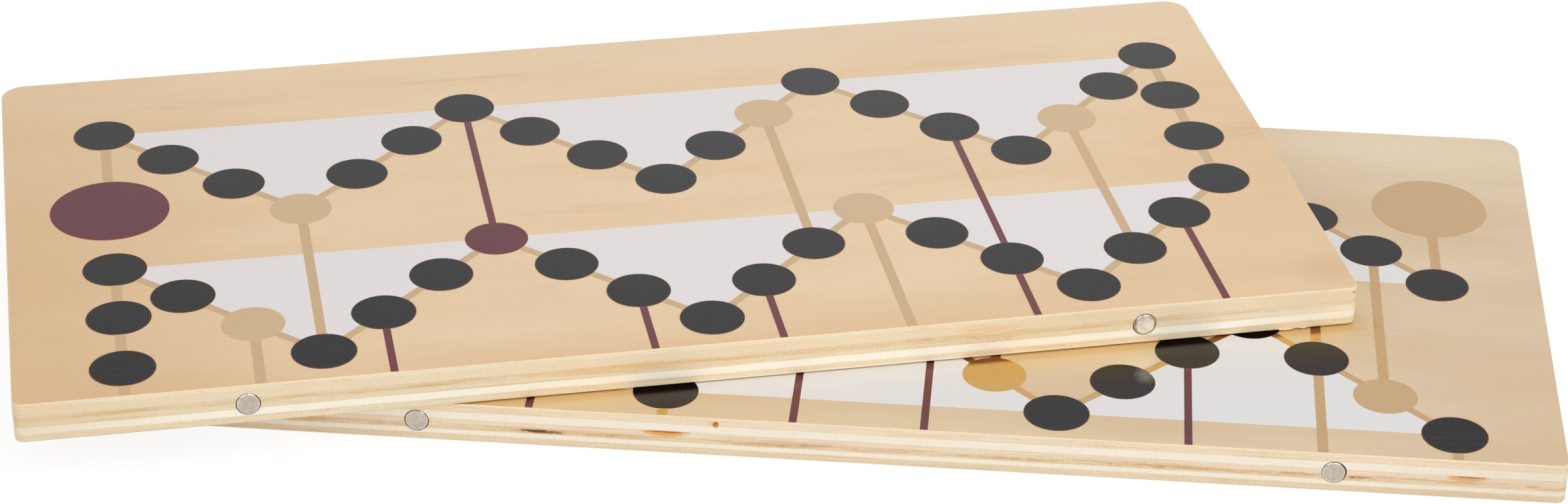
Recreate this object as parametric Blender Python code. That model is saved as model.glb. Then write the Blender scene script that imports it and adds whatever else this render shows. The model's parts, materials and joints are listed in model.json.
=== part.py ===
"""A wooden race-track board game in two halves, each a five-ply panel with two magnets in its joining edge.

Lengths are metres and +Z is up. The origin is the middle of the lower half's underside. The lower half lies
along X with its joining edge towards -Y, and the upper half lies turned on top of it.
"""
import math

import bmesh
import bpy
from mathutils import Matrix, Vector

# Panels
panel_length = 0.2900
panel_depth = 0.1426
back_corner_radius = 0.0055
joining_corner_radius = 0.0020
top_arris_radius = 0.00030
bottom_arris_radius = 0.0004

# Plies of one panel
face_veneer_thickness = 0.00170
cross_veneer_thickness = 0.00162
core_veneer_thickness = 0.00261

# Magnets in the joining edge, and the glue line round them
magnet_radius = 0.0025
magnet_length = 0.0050
magnet_rim_radius = 0.0004
magnet_stand_out = 0.0001
magnet_glue_gap = 0.00015
magnet_end_distance = 0.0483

# How the upper half lies on the lower one
upper_shift_x = -0.0558
upper_shift_y = 0.0112
upper_turn_degrees = 15.593
resting_gap = 0.0003

# The printed track, laid out on the joined board from the upper half's back edge
first_row_margin = 0.0282
last_row_margin = 0.0708
first_column_margin = 0.0234
last_column_margin = 0.0163
dot_radius = 0.00685
big_circle_radius = 0.0131
start_distance = 0.0354
goal_distance = 0.0348
zigzag_line_width = 0.00185
tan_line_width = 0.0022
burgundy_line_width = 0.00165

# Ink heights over the wood: fields are printed first, then lines, then dots
field_ink_height = 0.00005
line_ink_height = 0.00007
dot_ink_height = 0.00009

# How far a cutter or an ink shape runs past the surface that trims it
overrun = 0.0010

# Counts, and shares of the sizes that they follow
row_count = 4
column_count = 19
wave_columns = 6
peak_level = wave_columns // 2
zigzag_depth_share = 0.6692
line_start_share = 0.6
field_tip_share = 0.5
corner_segments = 8
arris_segments = 3
dot_segments = 24
big_circle_segments = 40
magnet_segments = 32

# What the named sizes give
joined_depth = 2 * panel_depth
row_spacing = (joined_depth - first_row_margin - last_row_margin) / (row_count - 1)
column_spacing = (panel_length - first_column_margin - last_column_margin) / (column_count - 1)
level_step = zigzag_depth_share * row_spacing / peak_level
between_dot_spacing = row_spacing / 3
ply_names = ("bottom_face_veneer", "bottom_cross_veneer", "core_veneer", "top_cross_veneer", "top_face_veneer")
ply_levels = (
    0,
    face_veneer_thickness,
    face_veneer_thickness + cross_veneer_thickness,
    face_veneer_thickness + cross_veneer_thickness + core_veneer_thickness,
    face_veneer_thickness + 2 * cross_veneer_thickness + core_veneer_thickness,
    2 * face_veneer_thickness + 2 * cross_veneer_thickness + core_veneer_thickness,
)
panel_thickness = ply_levels[-1]
bored_plies = ply_names[1:4]
bore_radius = magnet_radius + magnet_glue_gap
bore_depth = magnet_length - magnet_stand_out
bore_height = panel_thickness / 2

# The print's plan. Rows and columns count from 0. A ladder joins one column's dots in two rows.
black, tan, burgundy, white = range(4)
special_dots = {
    (0, 3): tan, (0, 11): tan, (0, 16): tan, (1, 2): tan, (1, 12): tan, (1, 6): burgundy,
    (2, 1): tan, (2, 7): tan,
}
ladders = (
    (tan, 3, 0, 1), (burgundy, 6, 0, 1), (tan, 11, 0, 1), (burgundy, 14, 0, 1), (tan, 16, 0, 1),
    (tan, 2, 1, 2), (burgundy, 4, 1, 2), (burgundy, 8, 1, 2), (burgundy, 10, 1, 2), (tan, 12, 1, 2),
    (burgundy, 14, 1, 2), (burgundy, 17, 1, 2), (tan, 1, 2, 3), (tan, 2, 2, 3), (tan, 7, 2, 3),
)
line_widths = {tan: tan_line_width, burgundy: burgundy_line_width}


def clear_scene():
    for item in list(bpy.data.objects):
        bpy.data.objects.remove(item, do_unlink=True)


def new_collection(name):
    collection = bpy.data.collections.new(name)
    bpy.context.scene.collection.children.link(collection)
    return collection


def new_material(name, red, green, blue, roughness, metallic=0.0):
    """A material whose colour is given in the 0 to 255 values seen on a screen."""
    linear = [(value / 255) ** 2.2 for value in (red, green, blue)]
    material = bpy.data.materials.new(name)
    material.use_nodes = True
    material.diffuse_color = (*linear, 1.0)
    shader = material.node_tree.nodes["Principled BSDF"]
    shader.inputs["Base Color"].default_value = (*linear, 1.0)
    shader.inputs["Roughness"].default_value = roughness
    shader.inputs["Metallic"].default_value = metallic
    return material


def new_object(name, bm, collection, parent, materials=()):
    """Turns a bmesh in its half's own frame into an object that hangs on that half's empty."""
    bmesh.ops.recalc_face_normals(bm, faces=bm.faces)
    mesh = bpy.data.meshes.new(name)
    bm.to_mesh(mesh)
    bm.free()
    for material in materials:
        mesh.materials.append(material)
    item = bpy.data.objects.new(name, mesh)
    collection.objects.link(item)
    item.parent = parent
    return item


def as_cutter(item):
    item.display_type = "WIRE"
    item.hide_render = True
    return item


def add_boolean(item, operation, other):
    modifier = item.modifiers.new(operation.lower(), "BOOLEAN")
    modifier.operation = operation
    modifier.solver = "EXACT"
    modifier.use_self = True
    modifier.material_mode = "TRANSFER"
    modifier.object = other


def panel_prism(low, high, inset=0):
    """The panel's outline with its rounded corners, drawn in by inset, from level low to level high."""
    bm = bmesh.new()
    size = Vector((panel_length - 2 * inset, panel_depth - 2 * inset, high - low))
    bmesh.ops.create_cube(bm, size=1, matrix=Matrix.Diagonal(size.to_4d()))
    for back, radius in ((True, back_corner_radius), (False, joining_corner_radius)):
        corners = [
            edge for edge in bm.edges
            if abs(edge.verts[0].co.z - edge.verts[1].co.z) > size.z / 2
            and (edge.verts[0].co.y > 0) == back
        ]
        bmesh.ops.bevel(
            bm, geom=corners, offset=radius - inset, segments=corner_segments, profile=0.5, affect="EDGES"
        )
    for vert in bm.verts:
        vert.co.z = high if vert.co.z > 0 else low
    return bm


def ease_arris(bm, level, radius):
    """Rounds the rim of the face that lies at a level."""
    rim = [
        edge for edge in bm.edges
        if all(abs(vert.co.z - level) < radius / 10 for vert in edge.verts)
        and any(abs(face.normal.z) < 0.5 for face in edge.link_faces)
    ]
    bmesh.ops.bevel(bm, geom=rim, offset=radius, segments=arris_segments, profile=0.5, affect="EDGES")


def magnet_places():
    """The magnets' places along the joining edge, left to right."""
    reach = panel_length / 2 - magnet_end_distance
    return -reach, reach


def cylinder_along_y(bm, radius, x, y_start, y_end, z):
    middle = Vector((x, (y_start + y_end) / 2, z))
    placing = Matrix.Translation(middle) @ Matrix.Rotation(math.radians(90), 4, "X")
    return bmesh.ops.create_cone(
        bm, cap_ends=True, segments=magnet_segments, radius1=radius, radius2=radius,
        depth=y_end - y_start, matrix=placing,
    )["verts"]


def make_plies(half, frame, parts, cutters, materials):
    """The five glued plies, the middle three cut by the blind bores that hold the magnets."""
    edge_y = -panel_depth / 2
    bm = bmesh.new()
    for x in magnet_places():
        cylinder_along_y(bm, bore_radius, x, edge_y - overrun, edge_y + bore_depth, bore_height)
    bores = as_cutter(new_object(f"{half}_magnet_bores", bm, cutters, frame))
    for index, name in enumerate(ply_names):
        low, high = ply_levels[index], ply_levels[index + 1]
        bm = panel_prism(low, high)
        bm.normal_update()
        if name == ply_names[0]:
            ease_arris(bm, low, bottom_arris_radius)
        if name == ply_names[-1]:
            ease_arris(bm, high, top_arris_radius)
        kind = name.removeprefix("bottom_").removeprefix("top_")
        ply = new_object(f"{half}_{name}", bm, parts, frame, [materials[kind]])
        if name in bored_plies:
            add_boolean(ply, "DIFFERENCE", bores)


def make_magnets(half, frame, parts, material):
    """Disc magnets, seated on the floor of their bores, with a rounded outer rim."""
    floor_y = -panel_depth / 2 + bore_depth
    face_y = floor_y - magnet_length
    for side, x in zip(("left", "right"), magnet_places()):
        bm = bmesh.new()
        cylinder_along_y(bm, magnet_radius, x, face_y, floor_y, bore_height)
        rim = [
            edge for edge in bm.edges
            if all(vert.co.y < face_y + magnet_rim_radius / 10 for vert in edge.verts)
        ]
        bmesh.ops.bevel(
            bm, geom=rim, offset=magnet_rim_radius, segments=arris_segments, profile=0.5, affect="EDGES"
        )
        magnet = new_object(f"{half}_{side}_magnet", bm, parts, frame, [material])
        magnet.data.shade_smooth()
        magnet.data.set_sharp_from_angle(angle=math.radians(40))


def level_of(column):
    """Steps of a row's zigzag away from the row's line: 0, 1, 2, 3, 2, 1, and again."""
    return min(column % wave_columns, -column % wave_columns)


class Print:
    """The track on one half, drawn in that half's own frame. Rows 0 and 1 are on the upper half."""

    def __init__(self, half):
        self.upper = half == "upper"
        self.rows = (0, 1) if self.upper else (2, 3)
        self.dots = bmesh.new()
        self.lines = bmesh.new()
        self.fields = bmesh.new()

    def place(self, column, across):
        """From a column and a distance past the first row's line to a point on this half."""
        x = -panel_length / 2 + first_column_margin + column * column_spacing
        y = panel_depth / 2 - first_row_margin - across
        return Vector((x, y)) if self.upper else Vector((-x, -y - panel_depth))

    def dot_place(self, row, column):
        return self.place(column, row * row_spacing + level_of(column) * level_step)

    def add_disc(self, centre, radius, segments, colour):
        """A disc of ink, from below the wood's surface up to the dots' height."""
        low, high = panel_thickness - overrun, panel_thickness + dot_ink_height
        made = bmesh.ops.create_cone(
            self.dots, cap_ends=True, segments=segments, radius1=radius, radius2=radius, depth=high - low,
            matrix=Matrix.Translation((*centre, (low + high) / 2)),
        )
        self.paint(made["verts"], colour)

    def add_line(self, start, end, width, colour):
        """A straight line of ink whose ends stay hidden under the dots that it joins."""
        along = (end - start).normalized()
        start = start + along * dot_radius * line_start_share
        end = end - along * dot_radius * line_start_share
        low, high = panel_thickness - overrun / 2, panel_thickness + line_ink_height
        turn = Matrix.Rotation(math.atan2(along.y, along.x), 4, "Z")
        size = Vector(((end - start).length, width, high - low, 1))
        made = bmesh.ops.create_cube(
            self.lines, size=1,
            matrix=Matrix.Translation((*(start + end) / 2, (low + high) / 2)) @ turn @ Matrix.Diagonal(size),
        )
        self.paint(made["verts"], colour)

    def add_field(self, row, first_column):
        """A white triangle between a row's line and one wave of its zigzag, its side tips under dots."""
        left = self.dot_place(row, first_column)
        peak = self.dot_place(row, first_column + peak_level)
        right = self.dot_place(row, first_column + wave_columns)
        outline = [
            self.towards(left, right), self.towards(right, left), self.towards(right, peak), peak,
            self.towards(left, peak),
        ]
        low, high = panel_thickness - overrun / 4, panel_thickness + field_ink_height
        prism = flat_prism(outline, low, high)
        self.fields.from_mesh(prism)
        bpy.data.meshes.remove(prism)

    @staticmethod
    def towards(corner, other):
        return corner + (other - corner).normalized() * dot_radius * field_tip_share

    @staticmethod
    def paint(verts, colour):
        for face in {face for vert in verts for face in vert.link_faces}:
            face.material_index = colour

    def draw_dots(self):
        for row in self.rows:
            for column in range(column_count):
                colour = special_dots.get((row, column), black)
                self.add_disc(self.dot_place(row, column), dot_radius, dot_segments, colour)

    def draw_row_lines(self):
        for row in self.rows:
            for column in range(column_count - 1):
                start, end = self.dot_place(row, column), self.dot_place(row, column + 1)
                self.add_line(start, end, zigzag_line_width, tan)
            for first_column in range(0, column_count - 1, wave_columns):
                self.add_field(row, first_column)

    def draw_turn(self, row):
        """The stretch that leads from one row to the next at the board's side, with two dots on it."""
        column = 0 if row % 2 else column_count - 1
        stops = [row * row_spacing + step * between_dot_spacing for step in range(4)]
        for start, end in zip(stops, stops[1:]):
            if self.shows(end) or self.shows(start):
                self.add_line(self.place(column, start), self.place(column, end), tan_line_width, tan)
        for stop in stops[1:-1]:
            if self.shows(stop):
                self.add_disc(self.place(column, stop), dot_radius, dot_segments, black)

    def draw_big_circle(self):
        """The burgundy start beside the first row, or the tan goal beside the last."""
        row = self.rows[0] if self.upper else self.rows[1]
        beyond = start_distance if self.upper else goal_distance
        centre = self.place(0, row * row_spacing + beyond)
        self.add_disc(centre, big_circle_radius, big_circle_segments, burgundy if self.upper else tan)
        self.add_line(self.dot_place(row, 0), centre, tan_line_width, tan)

    def draw_ladders(self):
        for colour, column, first_row, last_row in ladders:
            if first_row in self.rows or last_row in self.rows:
                ends = self.dot_place(first_row, column), self.dot_place(last_row, column)
                self.add_line(*ends, line_widths[colour], colour)

    def shows(self, across):
        """Whether a distance past the first row's line is on this half."""
        return abs(self.place(0, across).y) < panel_depth / 2

    def draw(self):
        self.draw_dots()
        self.draw_row_lines()
        for row in range(row_count - 1):
            self.draw_turn(row)
        self.draw_big_circle()
        self.draw_ladders()


def flat_prism(outline, low, high):
    """A mesh of a flat outline between two levels, from a filled and extruded curve."""
    curve = bpy.data.curves.new("outline", "CURVE")
    curve.dimensions = "2D"
    curve.fill_mode = "BOTH"
    curve.extrude = (high - low) / 2
    spline = curve.splines.new("POLY")
    spline.points.add(len(outline) - 1)
    for point, corner in zip(spline.points, outline):
        point.co = (*corner, 0, 1)
    spline.use_cyclic_u = True
    item = bpy.data.objects.new("outline", curve)
    bpy.context.scene.collection.objects.link(item)
    mesh = bpy.data.meshes.new_from_object(item.evaluated_get(bpy.context.evaluated_depsgraph_get()))
    bpy.data.objects.remove(item)
    bpy.data.curves.remove(curve)
    bm = bmesh.new()
    bm.from_mesh(mesh)
    bmesh.ops.remove_doubles(bm, verts=bm.verts, dist=overrun / 1000)
    bmesh.ops.translate(bm, verts=bm.verts, vec=(0, 0, (low + high) / 2))
    for face in bm.faces:
        face.material_index = white
    bm.to_mesh(mesh)
    bm.free()
    return mesh


def make_print(half, frame, parts, cutters, inks):
    """The ink film: dots, lines and fields joined, then trimmed to the flat of the top face."""
    track = Print(half)
    track.draw()
    film = new_object(f"{half}_printed_track", track.dots, parts, frame, inks)
    lines = as_cutter(new_object(f"{half}_lines", track.lines, cutters, frame, inks))
    fields = as_cutter(new_object(f"{half}_fields", track.fields, cutters, frame, inks))
    flat = panel_prism(panel_thickness, panel_thickness + overrun, inset=top_arris_radius)
    flat = as_cutter(new_object(f"{half}_flat", flat, cutters, frame, inks))
    add_boolean(film, "UNION", lines)
    add_boolean(film, "UNION", fields)
    add_boolean(film, "INTERSECT", flat)


def make_half(half, frame, parts, cutters, materials, inks):
    make_plies(half, frame, parts, cutters, materials)
    make_magnets(half, frame, parts, materials["magnet"])
    make_print(half, frame, parts, cutters, inks)


def new_frame(name, parts, location, turn=0.0):
    frame = bpy.data.objects.new(name, None)
    parts.objects.link(frame)
    frame.location = location
    frame.rotation_euler = (0, 0, turn)
    return frame


def main():
    clear_scene()
    parts = new_collection("track_board_game")
    cutters = new_collection("cutters")
    inks = [
        new_material("black_ink", 76, 74, 76, 0.35),
        new_material("tan_ink", 203, 178, 143, 0.35),
        new_material("burgundy_ink", 122, 80, 85, 0.35),
        new_material("white_ink", 224, 219, 220, 0.35),
    ]
    magnet = new_material("nickel", 195, 185, 175, 0.35, 1.0)
    lower_wood = {
        "face_veneer": new_material("lower_face_wood", 224, 205, 178, 0.4),
        "cross_veneer": new_material("lower_cross_wood", 243, 227, 210, 0.6),
        "core_veneer": new_material("lower_core_wood", 226, 198, 167, 0.6),
        "magnet": magnet,
    }
    upper_wood = {
        "face_veneer": new_material("upper_face_wood", 226, 200, 168, 0.4),
        "cross_veneer": new_material("upper_cross_wood", 238, 220, 194, 0.6),
        "core_veneer": new_material("upper_core_wood", 224, 196, 156, 0.6),
        "magnet": magnet,
    }
    lower_frame = new_frame("lower_half", parts, (0, 0, 0))
    upper_place = (upper_shift_x, upper_shift_y, panel_thickness + resting_gap)
    upper_frame = new_frame("upper_half", parts, upper_place, math.radians(upper_turn_degrees))
    make_half("lower", lower_frame, parts, cutters, lower_wood, inks)
    make_half("upper", upper_frame, parts, cutters, upper_wood, inks)


main()
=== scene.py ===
"""The looks of the wooden race-track board game: two plywood halves, one lying turned on the other.

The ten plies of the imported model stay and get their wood. The ink films and the magnets are replaced by
finer pieces. Lengths are metres. A half's own frame has its joining edge towards -Y and its face's level at
zero. In the finishes, places and sizes are millimetres in the half's own frame, up from its underside.
"""
import json
import math

import bpy
from mathutils import Matrix, Vector


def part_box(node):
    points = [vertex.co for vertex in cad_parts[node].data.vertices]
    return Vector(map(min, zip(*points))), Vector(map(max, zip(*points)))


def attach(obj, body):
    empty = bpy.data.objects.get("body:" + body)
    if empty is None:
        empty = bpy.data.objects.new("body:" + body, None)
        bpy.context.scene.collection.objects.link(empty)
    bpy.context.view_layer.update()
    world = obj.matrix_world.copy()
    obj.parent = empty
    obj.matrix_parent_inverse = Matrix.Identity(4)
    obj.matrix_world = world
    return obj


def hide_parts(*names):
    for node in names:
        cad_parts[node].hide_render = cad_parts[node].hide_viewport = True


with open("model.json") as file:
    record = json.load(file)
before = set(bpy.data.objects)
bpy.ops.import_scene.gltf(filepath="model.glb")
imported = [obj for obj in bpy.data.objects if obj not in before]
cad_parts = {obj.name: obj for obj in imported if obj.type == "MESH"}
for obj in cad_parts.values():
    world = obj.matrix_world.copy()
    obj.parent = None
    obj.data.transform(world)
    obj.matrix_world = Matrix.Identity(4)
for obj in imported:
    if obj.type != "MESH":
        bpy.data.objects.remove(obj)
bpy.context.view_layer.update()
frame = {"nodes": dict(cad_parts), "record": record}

# The panels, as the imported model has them
panel_length = 0.2900
panel_depth = 0.1426
panel_thickness = 0.00925
top_arris_radius = 0.0003
half_shifts = {"upper": (-0.0558, 0.0112), "lower": (0, 0)}
half_turns = {"upper": math.radians(15.593), "lower": 0}

# The magnets
magnet_radius = 0.0025
magnet_length = 0.0050
magnet_rim_radius = 0.00034
magnet_end_distance = 0.0483
magnet_stand_out = 0.0001
magnet_face_inset = 0.00005
magnet_face_sink = 0.000025
magnet_sides = 96
right_magnet_shift = {"upper": 0.00012, "lower": -0.00010}
right_magnet_drop = 0.0001

# The upper half's right magnet stands a little prouder and has a broader rim
proud_magnet_stand_out = 0.00015
proud_magnet_rim_radius = 0.00042

# The printed track on the joined board, counted from the upper half's back edge
first_row_margin = 0.0282
last_row_margin = 0.0708
first_column_margin = 0.0234
last_column_margin = 0.0163
row_spacing = (2 * panel_depth - first_row_margin - last_row_margin) / 3
column_spacing = (panel_length - first_column_margin - last_column_margin) / 18
level_step = 0.6692 * row_spacing / 3
dot_radius = 0.00685
big_circle_radius = 0.0131
start_distance = 0.0354
goal_distance = 0.0348
zigzag_line_widths = {"upper": 0.00193, "lower": 0.00185}
tan_line_width = 0.0022
burgundy_line_width = 0.00165
outline_width = 0.00016
dot_sides = 96
big_circle_sides = 144

# How high each layer of ink stands over the wood, in the order in which they were printed
field_height = 0.00005
zigzag_height = 0.000062
tan_line_height = 0.000068
burgundy_line_height = 0.000074
outline_height = 0.00008
dot_height = 0.00009
ink_shoulder = 0.00002

# How far the screen drifted at each column, in millimetres along the half
print_drift = {
    "upper": (-0.25, -0.14, 0.01, 0.11, 0.16, 0.17, 0.16, 0.00, -0.08, -0.16, -0.21, -0.35, -0.20, -0.11,
              -0.16, -0.20, 0.12, 0.26, -0.33),
    "lower": (0.28, 0.14, 0.10, 0.05, 0.04, 0.10, 0.22, 0.26, 0.34, 0.42, 0.54, 0.60, 0.62, 0.42,
              0.22, 0.10, 0.00, 0.00, 0.00),
}

# How far each coloured screen lay off the black one, along and across the half
screen_shift = {
    ("upper", "tan"): (0.00006, -0.00026), ("upper", "burgundy"): (-0.00008, -0.00025),
    ("lower", "tan"): (0.00020, 0.0), ("lower", "burgundy"): (0.00010, 0.0),
}

special_dots = {
    (0, 3): "tan", (0, 11): "tan", (0, 16): "tan", (1, 2): "tan", (1, 12): "tan", (1, 6): "burgundy",
    (2, 1): "tan", (2, 7): "tan",
}
ladders = (
    ("tan", 3, 0), ("burgundy", 6, 0), ("tan", 11, 0), ("burgundy", 14, 0), ("tan", 16, 0),
    ("tan", 2, 1), ("burgundy", 4, 1), ("burgundy", 8, 1), ("burgundy", 10, 1), ("tan", 12, 1),
    ("burgundy", 14, 1), ("burgundy", 17, 1), ("tan", 1, 2), ("tan", 2, 2), ("tan", 7, 2),
)

# Splinters left by the saw under the upper half's joining edge: place along it, length, dip and swing
splinters = (
    (0.1291, 0.0036, 1, 1), (0.1326, 0.0013, 17, -5), (0.1334, 0.0014, -14, 7),
)
splinter_root_radius = 0.00011
splinter_tip_radius = 0.00002
splinter_inset = 0.00008
splinter_rise = 0.00010
splinter_flattening = 0.6


# Modelling by hand

def deselect_all():
    if bpy.context.object and bpy.context.object.mode != "OBJECT":
        bpy.ops.object.mode_set(mode="OBJECT")
    bpy.ops.object.select_all(action="DESELECT")


def pick(piece):
    deselect_all()
    piece.select_set(True)
    bpy.context.view_layer.objects.active = piece


def into_edit_mode(piece, mode="VERT"):
    pick(piece)
    bpy.ops.object.mode_set(mode="EDIT")
    bpy.ops.mesh.select_mode(type=mode)
    bpy.ops.mesh.select_all(action="SELECT")


def edit_faces(piece, wanted):
    """Into edit mode with only the faces selected that the test wants."""
    into_edit_mode(piece, "FACE")
    bpy.ops.mesh.select_all(action="DESELECT")
    bpy.ops.object.mode_set(mode="OBJECT")
    for face in piece.data.polygons:
        face.select = wanted(face)
    bpy.ops.object.mode_set(mode="EDIT")


def raise_ink(piece, height):
    """Gives a flat outline of ink its thickness and an eased shoulder."""
    into_edit_mode(piece, "FACE")
    bpy.ops.mesh.extrude_region_move(TRANSFORM_OT_translate={"value": (0, 0, height)})
    bpy.ops.mesh.bevel(offset=ink_shoulder, segments=2, affect="EDGES")
    bpy.ops.mesh.select_all(action="SELECT")
    bpy.ops.mesh.normals_make_consistent(inside=False)
    bpy.ops.object.mode_set(mode="OBJECT")


def copy_to(piece, place):
    """A copy with its own mesh, moved to a place on the face."""
    pick(piece)
    bpy.ops.object.duplicate(linked=False)
    copy = bpy.context.object
    copy.location = (*place, 0)
    return copy


def join_as(name, parts):
    deselect_all()
    for part in parts:
        part.select_set(True)
    bpy.context.view_layer.objects.active = parts[0]
    if len(parts) > 1:
        bpy.ops.object.join()
    piece = bpy.context.object
    piece.name = name
    piece.data.name = name
    return piece


def settle(piece, half_frame):
    """Moves a piece from its half's own frame to its place, and leaves that place in the mesh."""
    bpy.context.view_layer.update()
    piece.matrix_world = half_frame @ piece.matrix_world
    pick(piece)
    bpy.ops.object.transform_apply(location=True, rotation=True, scale=True)


def ink_disc(radius, height, sides):
    bpy.ops.mesh.primitive_circle_add(vertices=sides, radius=radius, fill_type="NGON", location=(0, 0, 0))
    disc = bpy.context.object
    raise_ink(disc, height)
    return disc


def ink_line(start, end, width, height):
    along = end - start
    bpy.ops.mesh.primitive_plane_add(
        size=1, location=(*(start + end) / 2, 0), rotation=(0, 0, math.atan2(along.y, along.x))
    )
    line = bpy.context.object
    line.scale = (along.length, width, 1)
    bpy.ops.object.transform_apply(location=True, rotation=True, scale=True)
    raise_ink(line, height)
    return line


def ink_triangle(base_middle, base, depth, peak_up):
    """A white field: a triangle from its base line to its peak."""
    radius = depth / 1.5
    middle = base_middle + Vector((0, depth / 3 if peak_up else -depth / 3))
    bpy.ops.mesh.primitive_circle_add(
        vertices=3, radius=radius, fill_type="NGON", location=(*middle, 0),
        rotation=(0, 0, 0 if peak_up else math.pi),
    )
    field = bpy.context.object
    bpy.ops.object.transform_apply(location=True, rotation=True, scale=True)
    into_edit_mode(field)
    stretch = base / (radius * math.sqrt(3))
    bpy.ops.transform.resize(value=(stretch, 1, 1), center_override=(*middle, 0))
    bpy.ops.object.mode_set(mode="OBJECT")
    raise_ink(field, field_height)
    return field


def lay_off(piece, half, colour):
    """Moves one colour's print as its screen lay off the black one."""
    settle(piece, Matrix.Translation((*screen_shift.get((half, colour), (0, 0)), 0)))


def trim_at_joining_edge(piece):
    """Ends the ink where the face's flat ends."""
    into_edit_mode(piece)
    flat_ends = (0, -panel_depth / 2 + top_arris_radius, 0)
    bpy.ops.mesh.bisect(plane_co=flat_ends, plane_no=(0, -1, 0), use_fill=True, clear_outer=True)
    bpy.ops.object.mode_set(mode="OBJECT")


# The track's plan

def level_of(column):
    """Steps of a row's zigzag away from the row's line."""
    return min(column % 6, -column % 6)


class Track:
    """The print of one half, in that half's own frame. Rows 0 and 1 are on the upper half."""

    def __init__(self, half):
        self.half = half
        self.upper = half == "upper"
        self.rows = (0, 1) if self.upper else (2, 3)

    def place(self, column, across):
        x = -panel_length / 2 + first_column_margin + column * column_spacing
        y = panel_depth / 2 - first_row_margin - across
        drift = print_drift[self.half][column] / 1000
        return Vector((x + drift, y)) if self.upper else Vector((-x + drift, -y - panel_depth))

    def dot_place(self, row, column):
        return self.place(column, row * row_spacing + level_of(column) * level_step)

    def on_this_half(self, across):
        return abs(self.place(0, across).y) < panel_depth / 2

    def dots(self):
        """Every dot's place, by colour."""
        found = {"black": [], "tan": [], "burgundy": []}
        for row in self.rows:
            for column in range(19):
                found[special_dots.get((row, column), "black")].append(self.dot_place(row, column))
        for row in range(3):
            column = 0 if row % 2 else 18
            for step in (1, 2):
                across = (row + step / 3) * row_spacing
                if self.on_this_half(across):
                    found["black"].append(self.place(column, across))
        return found

    def big_circle(self):
        row, beyond = (0, start_distance) if self.upper else (3, goal_distance)
        return self.dot_place(row, 0), self.place(0, row * row_spacing + beyond)

    def zigzag_runs(self):
        for row in self.rows:
            for column in range(0, 18, 3):
                yield self.dot_place(row, column), self.dot_place(row, column + 3)

    def turns(self):
        """The stretches from row to row at the board's sides."""
        for row in range(3):
            if row in self.rows or row + 1 in self.rows:
                column = 0 if row % 2 else 18
                yield self.place(column, row * row_spacing), self.place(column, (row + 1) * row_spacing)

    def ladders(self, colour):
        for shade, column, row in ladders:
            if shade == colour and (row in self.rows or row + 1 in self.rows):
                yield self.dot_place(row, column), self.dot_place(row + 1, column)

    def fields(self):
        for row in self.rows:
            for column in range(0, 18, 6):
                yield (self.dot_place(row, column) + self.dot_place(row, column + 6)) / 2


def print_dots(track):
    """The dots and their outlines, each with the ink that it is printed in."""
    pieces = []
    half = track.half
    centre = track.big_circle()[1]
    big_colour = "burgundy" if track.upper else "tan"
    dot = ink_disc(dot_radius, dot_height, dot_sides)
    ring = ink_disc(dot_radius + outline_width, outline_height, dot_sides)
    places = track.dots()
    for colour, spots in places.items():
        discs = [copy_to(dot, spot) for spot in spots]
        if colour == big_colour:
            big = ink_disc(big_circle_radius, dot_height, big_circle_sides)
            big.location = (*centre, 0)
            discs.append(big)
        if discs:
            pieces.append((join_as(f"{half}_{colour}_dots", discs), colour))
            lay_off(pieces[-1][0], half, colour)
    rings = [copy_to(ring, spot) for spot in places["black"]]
    pieces.append((join_as(f"{half}_black_dot_outlines", rings), "black_outline"))
    if track.upper:
        red_rings = [copy_to(ring, spot) for spot in places["burgundy"]]
        big = ink_disc(big_circle_radius + outline_width, outline_height, big_circle_sides)
        big.location = (*centre, 0)
        red_rings.append(big)
        pieces.append((join_as(f"{half}_burgundy_dot_outlines", red_rings), "burgundy_outline"))
        lay_off(pieces[-1][0], half, "burgundy")
    for spare in (dot, ring):
        bpy.data.objects.remove(spare)
    return pieces


def print_lines(track):
    half = track.half
    near, centre = track.big_circle()
    zigzags = [ink_line(*run, zigzag_line_widths[half], zigzag_height) for run in track.zigzag_runs()]
    tans = [ink_line(*run, tan_line_width, tan_line_height) for run in track.ladders("tan")]
    tans += [ink_line(*run, tan_line_width, tan_line_height) for run in track.turns()]
    tans.append(ink_line(near, centre, tan_line_width, tan_line_height))
    reds = [ink_line(*run, burgundy_line_width, burgundy_line_height) for run in track.ladders("burgundy")]
    printed = (("zigzag", zigzags, "tan"), ("tan", tans, "tan"), ("burgundy", reds, "burgundy"))
    pieces = []
    for name, lines, colour in printed:
        piece = join_as(f"{half}_{name}_lines", lines)
        lay_off(piece, half, colour)
        trim_at_joining_edge(piece)
        pieces.append((piece, f"{colour}_line"))
    return pieces


def print_fields(track):
    wave = 6 * column_spacing
    depth = 3 * level_step
    fields = [ink_triangle(middle, wave, depth, not track.upper) for middle in track.fields()]
    return [(join_as(f"{track.half}_white_fields", fields), "white")]


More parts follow.
